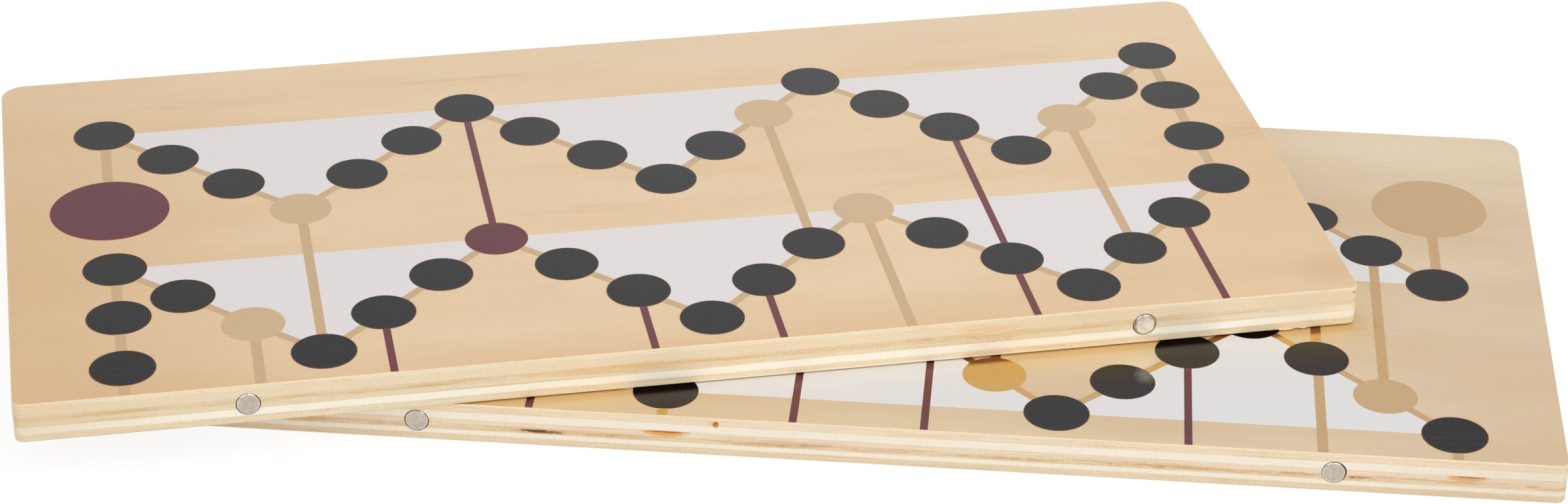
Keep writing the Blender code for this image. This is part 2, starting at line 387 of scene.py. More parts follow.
def make_magnet(name, x, low, rim, proud, finishes):
    """A nickel disc lying in its bore: a satin face set a hair inside a polished, rounded rim."""
    face_y = -panel_depth / 2 - magnet_stand_out - proud
    middle = Vector((x, 0, -panel_thickness / 2 - low))
    bpy.ops.mesh.primitive_cylinder_add(
        vertices=magnet_sides, radius=magnet_radius, depth=magnet_length - proud,
        location=(x, face_y + (magnet_length - proud) / 2, middle.z), rotation=(math.radians(90), 0, 0),
    )
    magnet = bpy.context.object
    magnet.name = name
    magnet.data.name = name
    bpy.ops.object.transform_apply(location=True, rotation=True, scale=True)
    for finish in finishes:
        magnet.data.materials.append(finish)
    edit_faces(magnet, lambda face: face.normal.y < -0.99)
    bpy.ops.mesh.bevel(offset=rim, segments=6, affect="EDGES")
    edit_faces(magnet, lambda face: face.normal.y < -0.999 and face.area > magnet_radius ** 2)
    bpy.ops.mesh.inset(thickness=magnet_face_inset, depth=-magnet_face_sink)

    def on_rim(face):
        return face.center.y < face_y + rim and (face.center - middle).xz.length > magnet_radius / 2

    edit_faces(magnet, on_rim)
    magnet.active_material_index = 1
    bpy.ops.object.material_slot_assign()
    bpy.ops.mesh.select_all(action="SELECT")
    bpy.ops.mesh.normals_make_consistent(inside=False)
    bpy.ops.object.mode_set(mode="OBJECT")
    bpy.ops.object.shade_smooth_by_angle(angle=math.radians(35))
    return magnet


def make_splinters(name):
    """Slivers of the bottom face veneer that the saw tore along the joining edge."""
    slivers = []
    for x, length, dip, swing in splinters:
        place = (x, -panel_depth / 2 + splinter_inset, -panel_thickness + splinter_rise)
        bpy.ops.mesh.primitive_cone_add(
            vertices=7, radius1=splinter_root_radius, radius2=splinter_tip_radius, depth=length,
            location=place, rotation=(0, math.radians(90 + dip), math.radians(swing)),
        )
        sliver = bpy.context.object
        bpy.ops.object.transform_apply(location=True, rotation=True, scale=True)
        into_edit_mode(sliver)
        bpy.ops.mesh.subdivide(number_cuts=2, smoothness=0.4)
        bpy.ops.transform.resize(value=(1, 1, splinter_flattening), center_override=place)
        bpy.ops.object.mode_set(mode="OBJECT")
        slivers.append(sliver)
    return join_as(name, slivers)


# Finishes

# The panel in millimetres, as the finishes see it
panel_end = 500 * panel_length
joining_edge = -500 * panel_depth
face_level = 1000 * panel_thickness

# How near the upper half has to be for the painted warm light and shade under its edge to show on the lower
# one
cover_reach = 0.04
open_sky_share = 0.93

# What darkens the wood, as linear colours that multiply it. The warm wash and the shade wash are painted warm
# light and painted shade along the upper half's joining edge
washes = {
    "streak": (0.74, 0.55, 0.33, 1), "thread": (0.72, 0.55, 0.36, 1), "speckle": (0.66, 0.52, 0.36, 1),
    "rib": (0.78, 0.68, 0.52, 1), "stroke": (0.84, 0.66, 0.46, 1), "glue": (0.74, 0.58, 0.38, 1),
    "painted_warmth_and_shade": (1.0, 0.90, 0.50, 1), "shade": (0.86, 0.70, 0.42, 1),
    "fibre": (0.72, 0.56, 0.38, 1), "pore": (0.66, 0.48, 0.32, 1), "mottle": (0.74, 0.64, 0.52, 1),
}


def seen(red, green, blue):
    """The linear colour of values read on a screen."""
    def linear(value):
        value /= 255
        return value / 12.92 if value <= 0.04045 else ((value + 0.055) / 1.055) ** 2.4
    return (linear(red), linear(green), linear(blue), 1)


class Wiring:
    """Adds nodes to one tree, each fed by sockets or plain values."""

    def __init__(self, tree):
        self.tree = tree
        tree.nodes.clear()

    def add(self, kind, feeds=(), **settings):
        node = self.tree.nodes.new(kind)
        for name, value in settings.items():
            setattr(node, name, value)
        for name, value in dict(feeds).items():
            self.feed(node.inputs[name], value)
        return node

    def feed(self, socket, value):
        if isinstance(value, bpy.types.NodeSocket):
            self.tree.links.new(value, socket)
        else:
            socket.default_value = value

    def maths(self, operation, *values, clamp=False):
        return self.add("ShaderNodeMath", enumerate(values), operation=operation, use_clamp=clamp).outputs[0]

    def times(self, first, second):
        return self.maths("MULTIPLY", first, second)

    def times_plus(self, value, scale, base):
        return self.maths("MULTIPLY_ADD", value, scale, base)

    def stretch(self, place, x, y, z, shift=(0, 0, 0)):
        """Place divided by lengths in millimetres, so that a pattern takes about that size."""
        return self.add(
            "ShaderNodeMapping", {"Vector": place, "Location": shift, "Scale": (1 / x, 1 / y, 1 / z)}
        ).outputs[0]

    def noise(self, place, detail=2.0, roughness=0.5):
        return self.add(
            "ShaderNodeTexNoise", {"Vector": place, "Scale": 1.0, "Detail": detail, "Roughness": roughness}
        ).outputs[0]

    def range(self, value, low, high, to_low=0.0, to_high=1.0):
        """Value from low to high, eased, to the range given. Low may be the greater of the two."""
        plain = not any(isinstance(end, bpy.types.NodeSocket) for end in (low, high))
        if plain and low > high:
            low, high, to_low, to_high = high, low, to_high, to_low
        return self.add(
            "ShaderNodeMapRange",
            {"Value": value, "From Min": low, "From Max": high, "To Min": to_low, "To Max": to_high},
            interpolation_type="SMOOTHSTEP",
        ).outputs[0]

    def mix(self, share, first, second, blend="MIX"):
        node = self.add("ShaderNodeMix", data_type="RGBA", blend_type=blend)
        self.feed(node.inputs[0], share)
        self.feed(node.inputs[6], first)
        self.feed(node.inputs[7], second)
        return node.outputs[2]

    def paint(self, base, colour, mask, strength):
        """Base with a colour laid on it where the mask says, as strongly as given."""
        return self.mix(self.times(mask, strength), base, colour)

    def wash(self, base, name, mask, strength):
        """Base darkened by one of the washes."""
        return self.mix(self.times(mask, strength), base, washes[name], "MULTIPLY")

    def split(self, place):
        return self.add("ShaderNodeSeparateXYZ", {0: place}).outputs

    def combine(self, x, y, z):
        return self.add("ShaderNodeCombineXYZ", {0: x, 1: y, 2: z}).outputs[0]

    def vector(self, operation, *values, output="Vector"):
        return self.add("ShaderNodeVectorMath", enumerate(values), operation=operation).outputs[output]


def new_group(name, inputs, outputs):
    """A node group with named sockets, its wiring, what comes in and the node that it goes out by."""
    group = bpy.data.node_groups.new(name, "ShaderNodeTree")
    kinds = {"vector": "NodeSocketVector", "colour": "NodeSocketColor", "value": "NodeSocketFloat"}
    for label, kind, value in inputs:
        socket = group.interface.new_socket(name=label, in_out="INPUT", socket_type=kinds[kind])
        socket.default_value = value
    for label, kind in outputs:
        group.interface.new_socket(name=label, in_out="OUTPUT", socket_type=kinds[kind])
    wiring = Wiring(group)
    return group, wiring, wiring.add("NodeGroupInput").outputs, wiring.add("NodeGroupOutput")


def place_group(wiring, group, feeds):
    node = wiring.add("ShaderNodeGroup", node_tree=group)
    for name, value in feeds.items():
        wiring.feed(node.inputs[name], value)
    return node.outputs


def make_grain_group():
    """Grain of a peeled veneer that runs along X. Each of its patterns goes from 0 to 1."""
    patterns = ("Clouds", "Streaks", "Fibres", "Pores", "Mottle")
    group, w, given, out = new_group(
        "veneer_grain", [("Place", "vector", (0, 0, 0))], [(pattern, "value") for pattern in patterns],
    )
    place = given["Place"]
    wander = w.noise(w.stretch(place, 75, 30, 50), 2)
    x, y, z = w.split(place)
    bent = w.combine(x, w.times_plus(wander, 9.0, y), z)
    clouds = w.noise(w.stretch(bent, 70, 13, 60), 3, 0.5)
    streaks = w.noise(w.stretch(bent, 42, 2.1, 60, (7, 3, 1)), 4, 0.6)
    fibres = w.noise(w.stretch(bent, 11, 0.42, 60, (1, 6, 2)), 3, 0.6)
    pores = w.noise(w.stretch(bent, 2.6, 0.14, 60, (2, 9, 4)), 2, 0.5)
    mottle = w.noise(w.stretch(place, 1.1, 0.7, 60, (5, 2, 8)), 2, 0.6)
    w.feed(out.inputs["Clouds"], w.range(clouds, 0.30, 0.70))
    w.feed(out.inputs["Streaks"], w.range(streaks, 0.55, 0.80))
    w.feed(out.inputs["Fibres"], w.range(fibres, 0.35, 0.68))
    w.feed(out.inputs["Pores"], w.range(pores, 0.58, 0.74))
    w.feed(out.inputs["Mottle"], w.range(mottle, 0.3, 0.7))
    return group


# The top of a mark that nothing cuts off, in millimetres
uncut = 99.0


def make_mark_group():
    """One mark in the wood: a ragged oval round a centre, 1 inside and 0 outside, cut off above its top."""
    group, w, given, out = new_group(
        "wood_mark",
        [("Place", "vector", (0, 0, 0)), ("Centre", "vector", (0, 0, 0)), ("Reach", "vector", (1, 1, 1)),
         ("Raggedness", "value", 0.5), ("Softness", "value", 0.5), ("Top", "value", uncut)],
        [("Mask", "value")],
    )
    offset = w.vector("SUBTRACT", given["Place"], given["Centre"])
    distance = w.vector("LENGTH", w.vector("DIVIDE", offset, given["Reach"]), output="Value")
    rough = w.noise(w.stretch(given["Place"], 1.3, 0.5, 0.3), 5, 0.75)
    rough = w.maths("SUBTRACT", rough, 0.5)
    distance = w.times_plus(rough, w.times(given["Raggedness"], 3.0), distance)
    inside = w.range(distance, w.maths("SUBTRACT", 1.0, given["Softness"]), 1.0, 1.0, 0.0)
    height = w.split(given["Place"])[2]
    ragged_top = w.times_plus(rough, 0.10, given["Top"])
    below = w.range(w.maths("SUBTRACT", ragged_top, height), -0.03, 0.05)
    w.feed(out.inputs["Mask"], w.times(inside, below))
    return group


plies = ("Under Face", "Under Cross", "Core", "Top Cross", "Top Face")


def make_edge_group():
    """The five plies as they show in a sawn and sanded edge, with the height of its relief."""
    group, w, given, out = new_group(
        "plywood_edge",
        [("Place", "vector", (0, 0, 0))] + [(ply, "colour", (1, 1, 1, 1)) for ply in plies]
        + [("Core Streak", "colour", (1, 1, 1, 1))]
        + [(f"Border {index + 1}", "value", height) for index, height in enumerate((1.7, 3.3, 5.9, 7.5))]
        + [("Heart", "value", 4.0), ("Streakiness", "value", 0.5)],
        [("Color", "colour"), ("Height", "value")],
    )
    x, y, z = w.split(given["Place"])
    # Round the corner to the panel's ends the plies show their other grain, so the colours change places
    end = w.range(w.maths("ABSOLUTE", x), panel_end - 0.5, panel_end - 0.05)
    along = w.maths("ADD", x, y)
    flat = w.combine(along, 0.0, z)
    wave = w.noise(w.stretch(flat, 26, 9, 9), 2, 0.5)
    fray = w.noise(w.stretch(flat, 1.1, 1, 0.5, (3, 1, 2)), 3, 0.6)
    level = w.times_plus(w.maths("SUBTRACT", wave, 0.5), 0.45, z)
    frayed = w.times_plus(w.maths("SUBTRACT", fray, 0.5), 0.16, level)
    streaks = w.noise(w.stretch(w.combine(along, 0.0, level), 34, 9, 0.26, (1, 4, 2)), 4, 0.6)
    fine = w.noise(w.stretch(flat, 7, 9, 0.10, (6, 2, 1)), 3, 0.6)
    patches = w.noise(w.stretch(flat, 17, 9, 1.1, (9, 4, 7)), 3, 0.6)
    threads = w.noise(w.stretch(flat, 2.4, 9, 0.16, (8, 3, 6)), 4, 0.7)
    leaning = w.combine(w.times_plus(z, 0.7, along), 0.0, z)
    strokes = w.noise(w.stretch(leaning, 0.55, 9, 2.6, (2, 7, 3)), 3, 0.6)
    speckle = w.noise(w.stretch(flat, 0.55, 9, 0.30, (2, 2, 5)), 3, 0.6)
    ribs = w.noise(w.stretch(flat, 0.42, 9, 4.0, (4, 4, 1)), 3, 0.6)

    from_heart = w.maths("ABSOLUTE", w.maths("SUBTRACT", frayed, given["Heart"]))
    heart = w.times(w.range(from_heart, 1.05, 0.15), w.range(patches, 0.36, 0.62, 0.25, 1.0))
    heart = w.times(heart, w.range(threads, 0.40, 0.58, 0.35, 1.15))
    core = w.mix(w.times(heart, given["Streakiness"]), given["Core"], given["Core Streak"])
    crossed = w.mix(0.5, given["Top Face"], core)
    colours = [given["Under Face"], given["Under Cross"], core, given["Top Cross"], given["Top Face"]]
    turned = [given["Under Cross"], crossed, given["Under Cross"], crossed, given["Under Cross"]]
    colours = [w.mix(end, colour, other) for colour, other in zip(colours, turned)]
    bands = colours[0]
    glue = 0.0
    crosswise = 0.0
    for index in range(4):
        border = given[f"Border {index + 1}"]
        over = w.maths("SUBTRACT", frayed, border)
        share = w.range(over, -0.09, 0.09)
        bands = w.mix(share, bands, colours[index + 1])
        glue = w.maths("MAXIMUM", glue, w.range(w.maths("ABSOLUTE", over), 0.10, 0.02))
        crosswise = w.maths("ADD" if index % 2 == 0 else "SUBTRACT", crosswise, share)
    lengthwise = w.maths("SUBTRACT", 1.0, crosswise, clamp=True)

    # Each pattern, where it starts and is full, its strength, its share on the cross plies, and its wash
    for pattern, start, full, strength, across, wash in (
        (streaks, 0.46, 0.70, 0.45, 0.15, "streak"),
        (fine, 0.46, 0.72, 0.38, 0.30, "thread"),
        (speckle, 0.52, 0.76, 0.45, 0.35, "speckle"),
    ):
        shown = w.range(lengthwise, 0.0, 1.0, across, 1.0)
        bands = w.wash(bands, wash, w.range(pattern, start, full, 0.0, strength), shown)
    bands = w.mix(w.range(ribs, 0.46, 0.80, 0.0, 0.16), bands, washes["rib"], "MULTIPLY")
    feathered = w.times(w.range(patches, 0.50, 0.62), lengthwise)
    bands = w.wash(bands, "stroke", w.range(strokes, 0.46, 0.66, 0.0, 0.40), feathered)
    bands = w.wash(bands, "glue", glue, 0.14)
    height = w.times(ribs, 0.022)
    height = w.times_plus(speckle, 0.022, height)
    height = w.times_plus(glue, -0.020, height)
    w.feed(out.inputs["Color"], bands)
    w.feed(out.inputs["Height"], height)
    return group


# How far before the upper half's joining edge each strip of painted warm light and painted shade ends and is
# full, in millimetres
painted_warmth_reach = {"Shaded": (3.3, 1.5), "Near": (13, -2), "Wide": (34, -4)}


def make_painted_warmth_and_shade_group():
    """Masks for painted warm light and painted shade on the lower half's face: how near a place lies to the
    joining edge that rests on it, 0 to 1.
    """
    group, w, given, out = new_group(
        "painted_warm_light_and_shade", [("Place", "vector", (0, 0, 0)), ("Covered", "value", 1.0)],
        [(effect, "value") for effect in painted_warmth_reach],
    )
    shift = (1000 * half_shifts["upper"][0], 1000 * half_shifts["upper"][1], 0)
    turned = w.add(
        "ShaderNodeMapping",
        {"Vector": given["Place"], "Location": shift, "Rotation": (0, 0, half_turns["upper"])},
        vector_type="TEXTURE",
    ).outputs[0]
    x, y = w.split(turned)[:2]
    along = w.range(w.maths("ABSOLUTE", x), panel_end + 6, panel_end - 2)
    before = w.maths("SUBTRACT", joining_edge, y)
    along = w.times(w.times(along, given["Covered"]), w.range(before, -8, -2))
    for effect, (end, full) in painted_warmth_reach.items():
        w.feed(out.inputs[effect], w.times(along, w.range(before, end, full)))
    return group


def light_from_above(w, groups, place):
    """How close the upper half lies over the lower one, 1 at rest and 0 once lifted, and the masks of its
    painted warm light and painted shade.
    """
    open_sky = w.add("ShaderNodeAmbientOcclusion", {"Distance": cover_reach}, samples=16).outputs["AO"]
    cover = w.range(open_sky, 1.0, open_sky_share)
    return cover, place_group(w, groups["painted_warmth_and_shade"], {"Place": place, "Covered": cover})


def mark_mask(w, groups, place, centre, reach, ragged, soft, top=uncut):
    """Where one mark lies, 0 to 1."""
    return place_group(w, groups["mark"], {
        "Place": place, "Centre": centre, "Reach": reach, "Raggedness": ragged, "Softness": soft, "Top": top,
    })["Mask"]


def new_finish(name):
    material = bpy.data.materials.new(name)
    material.use_nodes = True
    return material, Wiring(material.node_tree)


def half_finish(name, half, groups):
    """A finish on one half, the place in its own frame in millimetres, and the grain there."""
    material, w = new_finish(name)
    coordinates = w.add("ShaderNodeTexCoord").outputs["Object"]
    low_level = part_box(f"{half}_bottom_face_veneer")[0].z
    place = w.add("ShaderNodeMapping", {
        "Vector": coordinates, "Location": (*half_shifts[half], low_level),
        "Rotation": (0, 0, half_turns[half]), "Scale": (0.001, 0.001, 0.001),
    }, vector_type="TEXTURE").outputs[0]
    grain = place_group(w, groups["grain"], {"Place": w.vector("ADD", place, half_woods[half]["shift"])})
    return material, w, place, grain


def grain_relief(w, grain, pore_depth):
    """The height of the grain under a finish, in millimetres."""
    return w.times_plus(grain["Fibres"], -fibre_depth, w.times(grain["Pores"], -pore_depth))


def close_finish(w, colour, roughness, height, metallic=0.0):
    """The shader of every finish, with its relief's height in millimetres."""
    bump = w.add("ShaderNodeBump", {"Height": height, "Distance": 0.001, "Strength": 1.0})
    shader = w.add("ShaderNodeBsdfPrincipled", {
        "Base Color": colour, "Roughness": roughness, "Metallic": metallic,
        "Normal": bump.outputs[0], "IOR": 1.45,
    })
    w.add("ShaderNodeOutputMaterial", {"Surface": shader.outputs[0]})


# Plies go from the underside up. Borders and heart are heights in the joining edge. The shift moves the grain
half_woods = {
    "upper": {
        "face": seen(238, 208, 169), "pale": seen(241, 215, 178), "streak": seen(226, 182, 132),
        "plies": (
            seen(237, 220, 188), seen(248, 241, 223), seen(236, 219, 186),
            seen(236, 217, 184), seen(242, 228, 201),
        ),
        "core_streak": seen(221, 189, 142), "borders": (1.82, 3.54, 6.10, 8.05), "arris": seen(238, 215, 173),
        "shift": (31, 12, 0), "heart": 5.45, "streakiness": 0.85,
    },
    "lower": {
        "face": seen(221, 195, 159), "pale": seen(228, 206, 175), "streak": seen(212, 174, 129),
        "plies": (
            seen(235, 215, 183), seen(245, 235, 216), seen(241, 223, 195),
            seen(246, 236, 218), seen(243, 225, 196),
        ),
        "core_streak": seen(212, 173, 121), "borders": (1.66, 2.82, 5.42, 7.28), "arris": seen(239, 216, 178),
        "shift": (143, 77, 30), "heart": 3.65, "streakiness": 0.95,
    },
}

# Marks on the faces: centre and reach along and across, colour, strength, raggedness, softness, and how much
# the fibres break them up
face_marks = {
    "upper": (
        ((-155, -10), (95, 130), seen(220, 177, 126), 0.62, 0.08, 1.0, 0.0),
        ((70, 74), (120, 26), seen(241, 219, 188), 0.70, 0.10, 1.0, 0.2),
        ((0, -79), (210, 26), seen(230, 186, 136), 0.75, 0.08, 1.0, 0.1),
        ((-130, -70), (60, 34), seen(222, 182, 134), 0.50, 0.08, 1.0, 0.0),
        ((152, -34), (86, 90), seen(230, 191, 146), 0.55, 0.08, 1.0, 0.0),
        ((92, -57), (56, 15), seen(226, 194, 150), 0.45, 0.08, 1.0, 0.0),
        ((141, -63), (13, 10), seen(208, 172, 130), 0.40, 0.10, 1.0, 0.0),
        ((136, 2), (30, 8.0), seen(222, 176, 126), 0.55, 0.20, 0.9, 0.7),
        ((12, 4), (36, 5.0), seen(230, 188, 140), 0.45, 0.20, 0.9, 0.8),
        ((88, 47), (50, 3.2), seen(231, 193, 145), 0.45, 0.20, 0.9, 0.7),
        ((-36, 58), (25, 1.1), seen(212, 163, 112), 0.45, 0.20, 0.9, 0.8),
        ((-32, -43), (13, 9.0), seen(226, 200, 166), 0.45, 0.20, 0.9, 0.7),
        ((-14, -9), (30, 3.4), seen(228, 184, 136), 0.40, 0.20, 0.9, 0.7),
        ((58, -9), (44, 3.0), seen(231, 192, 144), 0.35, 0.20, 0.9, 0.7),
        ((-95, 55), (40, 4.0), seen(226, 188, 142), 0.35, 0.20, 0.9, 0.7),
    ),
    "lower": (
        ((112, 66), (90, 26), seen(237, 219, 190), 0.85, 0.10, 1.0, 0.1),
        # Painted warm light: a lighter, warmer strip in front of the upper half's joining edge
        ((0, -74), (95, 14), seen(234, 209, 168), 0.85, 0.10, 1.0, 0.1),
        ((108, -22), (34, 5.0), seen(204, 170, 128), 0.30, 0.20, 0.9, 0.7),
        ((126, 22), (22, 3.0), seen(206, 172, 130), 0.30, 0.20, 0.9, 0.7),
        ((150, -40), (60, 70), seen(214, 184, 146), 0.40, 0.08, 1.0, 0.0),
    ),
}

# Marks in the joining edges: centre and reach along and up, colour, strength, raggedness, softness and, where
# a ply's border cuts them off, their top
edge_marks = {
    "upper": (
        ((-16, 5.5), (22, 1.05), seen(233, 190, 122), 0.60, 0.45, 0.8),
        ((5, 5.35), (10, 0.35), seen(222, 174, 108), 0.55, 0.40, 0.8),
        ((62, 6.9), (9, 0.85), seen(236, 196, 134), 0.65, 0.40, 0.7),
        ((-124, 5.5), (18, 0.45), seen(200, 166, 120), 0.25, 0.60, 0.7),
        ((-66, 5.2), (22, 0.5), seen(205, 168, 116), 0.35, 0.60, 0.8),
        ((-150, 4.6), (52, 9.0), seen(221, 192, 150), 0.50, 0.05, 1.0),
        ((-120, 9.0), (95, 0.20), seen(229, 199, 149), 0.50, 0.04, 1.0),
        ((62, 1.80), (92, 0.34), seen(249, 238, 214), 0.60, 0.05, 1.0),
        ((96, 2.5), (48, 1.2), seen(255, 252, 242), 0.50, 0.05, 1.0),
        # Painted light: the lowest half millimetre of the edge lightened against the shade of the gap under
        # it
        ((46, 0.25), (112, 0.50), seen(255, 240, 212), 0.75, 0.04, 0.8),
        ((150, 4.2), (66, 3.0), seen(252, 244, 224), 0.55, 0.05, 1.0),
        ((143.9, 8.0), (0.6, 0.35), seen(188, 112, 72), 0.75, 0.20, 0.6),
    ),
    "lower": (
        ((-70.5, 3.5), (9.0, 0.85), seen(206, 146, 82), 0.75, 0.45, 0.8),
        ((-71.2, 3.62), (3.4, 0.40), seen(74, 46, 24), 0.95, 0.60, 0.25),
        ((-67.6, 3.45), (3.2, 0.30), seen(140, 90, 44), 0.85, 1.10, 0.35),
        ((-43.8, 5.36), (6.0, 1.65), seen(228, 160, 72), 0.90, 0.30, 0.45, 5.42),
        ((-43.2, 5.32), (5.4, 0.46), seen(170, 92, 26), 0.90, 0.30, 0.6, 5.44),
        ((-33.6, 7.8), (2.0, 1.00), seen(238, 186, 116), 0.60, 0.20, 0.8),
        ((-33.0, 7.75), (0.78, 0.92), seen(206, 114, 26), 0.97, 0.30, 0.35),
        ((-32.8, 8.15), (0.45, 0.30), seen(140, 70, 24), 0.60, 0.20, 0.6),
        ((102.2, 3.75), (2.8, 0.32), seen(198, 124, 70), 0.80, 0.60, 0.5),
        ((100.5, 3.72), (0.6, 0.26), seen(120, 78, 56), 0.75, 0.30, 0.6),
        ((89.0, 3.72), (5.4, 0.36), seen(214, 156, 98), 0.60, 0.55, 0.6),
        ((124.0, 5.36), (5.0, 1.75), seen(230, 156, 70), 0.90, 0.30, 0.45, 5.42),
        ((125.0, 5.32), (4.2, 0.50), seen(168, 84, 26), 0.92, 0.30, 0.6, 5.44),
        # Painted shade: the right end of the edge darkened where less light reaches it
        ((150, 4.6), (58, 9.0), seen(218, 196, 164), 0.38, 0.05, 1.0),
        ((128, 0.8), (46, 1.3), seen(212, 184, 148), 0.40, 0.05, 1.0),
        ((137.8, 3.75), (1.9, 0.32), seen(214, 158, 84), 0.75, 0.30, 0.6),
        ((50.1, 3.55), (0.16, 0.5), seen(140, 100, 62), 0.65, 0.15, 0.5),
        ((-11.5, 3.9), (4.5, 0.35), seen(178, 138, 92), 0.45, 0.70, 0.5),
    ),
}

# The level of the marks on a face, and how deep those on the joining edge go
mark_level = 9
mark_depth = 4

# The patch of light on the lower face from the magnet above it
magnet_glow = {
    "centre": (55.4, -40.2, mark_level), "reach": (6.5, 5.6, mark_level), "ragged": 0.1, "soft": 1.0,
}
magnet_glow_colour = seen(240, 226, 194)
magnet_glow_strength = 0.60

cut_roughness = 0.62
face_roughness = 0.34
ink_roughness = 0.15

# How deep the grain is under the finishes, in millimetres
fibre_depth = 0.003
face_pore_depth = 0.004
ink_pore_depth = 0.003


def face_colour(w, groups, half, place, grain):
    """The sanded and lacquered face, with its marks and, on the lower half, painted warm light and painted
    shade from the half above and a painted patch of light from its magnet.
    """
    wood = half_woods[half]
    face = w.mix(grain["Clouds"], wood["face"], wood["pale"])
    face = w.paint(face, wood["streak"], grain["Streaks"], 0.16)
    for centre, reach, colour, strength, ragged, soft, broken in face_marks[half]:
        mask = mark_mask(w, groups, place, (*centre, mark_level), (*reach, mark_level), ragged, soft)
        fibres = w.range(grain["Fibres"], 0.0, 1.0, 1.0 - broken, 1.0)
        face = w.paint(face, colour, w.times(mask, strength), fibres)
    if half == "lower":
        # Painted light on the lower face: the magnet's patch of light, and warm light and shade along the
        # upper half's edge, shown only while that half rests on it
        cover, painted_warmth_and_shade = light_from_above(w, groups, place)
        glow = w.times(mark_mask(w, groups, place, **magnet_glow), cover)
        face = w.paint(face, magnet_glow_colour, glow, magnet_glow_strength)
        face = w.wash(face, "painted_warmth_and_shade", painted_warmth_and_shade["Near"], 0.56)
        face = w.wash(face, "shade", painted_warmth_and_shade["Shaded"], 0.55)
    face = w.wash(face, "fibre", grain["Fibres"], 0.07)
    face = w.wash(face, "pore", grain["Pores"], 0.10)
    return w.wash(face, "mottle", grain["Mottle"], 0.06)


def edge_feeds(wood, place):
    """What the edge group takes for one half."""
    feeds = {"Place": place, "Core Streak": wood["core_streak"]}
    feeds.update({"Heart": wood["heart"], "Streakiness": wood["streakiness"]})
    feeds.update(zip(plies, wood["plies"]))
    feeds.update((f"Border {index + 1}", height) for index, height in enumerate(wood["borders"]))
    return feeds


def cut_colour(w, groups, half, place, bands):
    """The plies' bands with their marks, and the pale line of the eased arris."""
    for centre, reach, colour, strength, *shape in edge_marks[half]:
        middle = (centre[0], joining_edge, centre[1])
        size = (reach[0], mark_depth, reach[1])
        bands = w.paint(bands, colour, mark_mask(w, groups, place, middle, size, *shape), strength)
    z = w.split(place)[2]
    rising = w.range(z, face_level - 0.37, face_level - 0.25)
    arris = w.times(rising, w.range(z, face_level, face_level - 0.05))
    return w.paint(bands, half_woods[half]["arris"], arris, 0.6)


def make_plywood(half, groups):
    """The wood of one half, given to its plies."""
    wood = half_woods[half]
    material, w, place, grain = half_finish(f"{half}_plywood", half, groups)
    z = w.split(place)[2]
    face = face_colour(w, groups, half, place, grain)
    edge_sockets = place_group(w, groups["edge"], edge_feeds(wood, place))
    cut = cut_colour(w, groups, half, place, edge_sockets["Color"])
    on_face = w.maths("ADD", w.range(z, face_level - 0.06, face_level - 0.01), w.range(z, 0.04, 0.0))
    heights = {0: on_face, 2: edge_sockets["Height"], 3: grain_relief(w, grain, face_pore_depth)}
    height = w.add("ShaderNodeMix", heights, data_type="FLOAT").outputs[0]
    roughness = w.range(on_face, 0.0, 1.0, cut_roughness, face_roughness)
    roughness = w.times_plus(grain["Fibres"], 0.06, roughness)
    close_finish(w, w.mix(on_face, cut, face), roughness, height)
    for node in frame["record"]["behaviour"]["bodies"][f"{half}_half"]:
        if node.endswith("veneer"):
            frame["nodes"][node].data.materials.clear()
            frame["nodes"][node].data.materials.append(material)
    return material


# Inks: colour, colour where the grain shows through, and how much it shows. Both halves have the same blacks
blacks = {
    "black": (seen(24, 22, 25), seen(50, 46, 45), 0.40),
    "black_outline": (seen(112, 62, 46), seen(130, 84, 66), 0.3),
}
ink_colours = {
    "upper": {
        **blacks,
        "tan": (seen(211, 181, 140), seen(228, 197, 157), 0.35),
        "tan_line": (seen(207, 175, 133), seen(224, 191, 150), 0.35),
        "burgundy": (seen(99, 45, 56), seen(128, 74, 80), 0.30),
        "burgundy_line": (seen(113, 49, 55), seen(138, 78, 80), 0.30),
        "white": (seen(233, 227, 226), seen(236, 226, 214), 0.15),
        "burgundy_outline": (seen(146, 44, 40), seen(156, 70, 66), 0.3),
    },
    "lower": {
        **blacks,
        "tan": (seen(201, 167, 123), seen(213, 183, 141), 0.35),
        "tan_line": (seen(200, 163, 117), seen(212, 180, 138), 0.35),
        "burgundy_line": (seen(103, 48, 56), seen(130, 76, 78), 0.30),
        "white": (seen(229, 227, 226), seen(232, 224, 214), 0.15),
    },
}

# Painted warm light and painted shade from the upper half's edge on the lower half's inks: each one's reach,
# strength and colour
painted_warmth_on_inks = {
    "tan": (
        ("Wide", 0.95, seen(214, 164, 68)), ("Near", 0.35, seen(196, 138, 60)),
        ("Shaded", 0.95, seen(112, 50, 2)),
    ),
    "burgundy": (("Wide", 0.80, seen(116, 47, 38)), ("Shaded", 0.85, seen(74, 24, 16))),
    "black": (
        ("Wide", 0.55, seen(36, 27, 14)), ("Near", 0.75, seen(42, 29, 8)),
        ("Shaded", 0.90, seen(20, 11, 2)),
    ),
    "white": (("Shaded", 0.14, seen(212, 186, 160)),),
}

# The patch of light that the magnet above throws on one dot
magnet_glare = {
    "centre": (57.2, -44.6, mark_level), "reach": (3.4, 4.6, mark_level), "ragged": 0.35, "soft": 0.9,
}
magnet_glare_colour = seen(214, 208, 196)
magnet_glare_strength = 0.23


